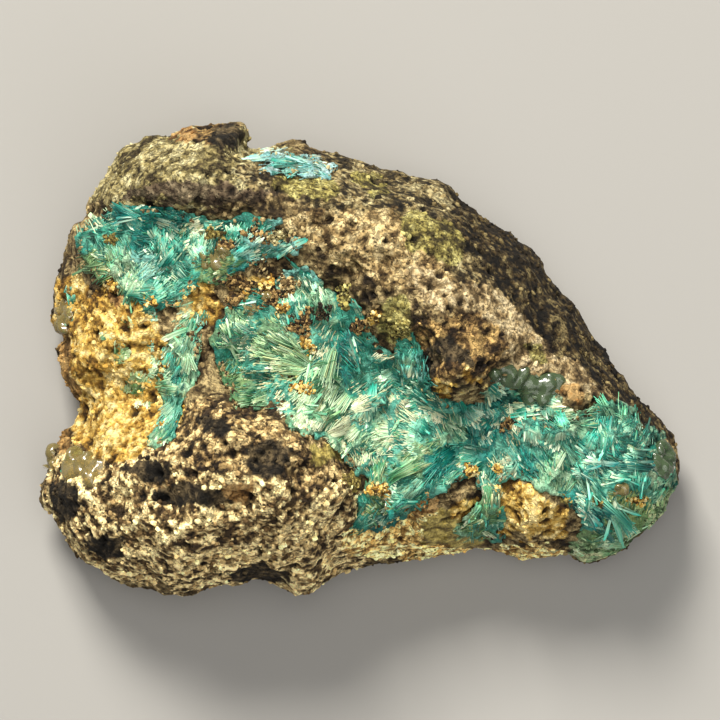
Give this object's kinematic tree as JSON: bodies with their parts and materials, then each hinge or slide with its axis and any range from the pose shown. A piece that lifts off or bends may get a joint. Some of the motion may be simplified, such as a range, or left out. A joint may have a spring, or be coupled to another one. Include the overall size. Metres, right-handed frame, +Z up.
{
  "type": "aurichalcite with hemimorphite",
  "caption": "Cabinet mineral specimen: a lump of brown limonite gossan with a hollow lined by radiating sprays of fibrous blue-green aurichalcite, and small clusters of clear hemimorphite.",
  "frame": {"origin": "under the middle of the specimen's box, on the surface it lies on", "axes": "+Z up out of the crystal-bearing face, +X along its longest side towards the narrow end, +Y towards the thick speckled edge"},
  "size_m": [0.1, 0.0738, 0.0385],
  "materials": {
    "limonite": "dull, rough and crumbly, ochre to dark brown",
    "aurichalcite": "silky fibres, deep teal to pale mint",
    "hemimorphite": "clear and glassy, faintly grey-green"
  },
  "bodies": {
    "root": {"limonite_matrix": "limonite", "aurichalcite_band": "aurichalcite", "aurichalcite_upper_patch": "aurichalcite", "aurichalcite_left_plume": "aurichalcite", "aurichalcite_top_edge": "aurichalcite", "hemimorphite_left_edge": "hemimorphite", "hemimorphite_left_nodule": "hemimorphite", "hemimorphite_brow": "hemimorphite", "hemimorphite_right_tip": "hemimorphite"}
  },
  "joints": []
}
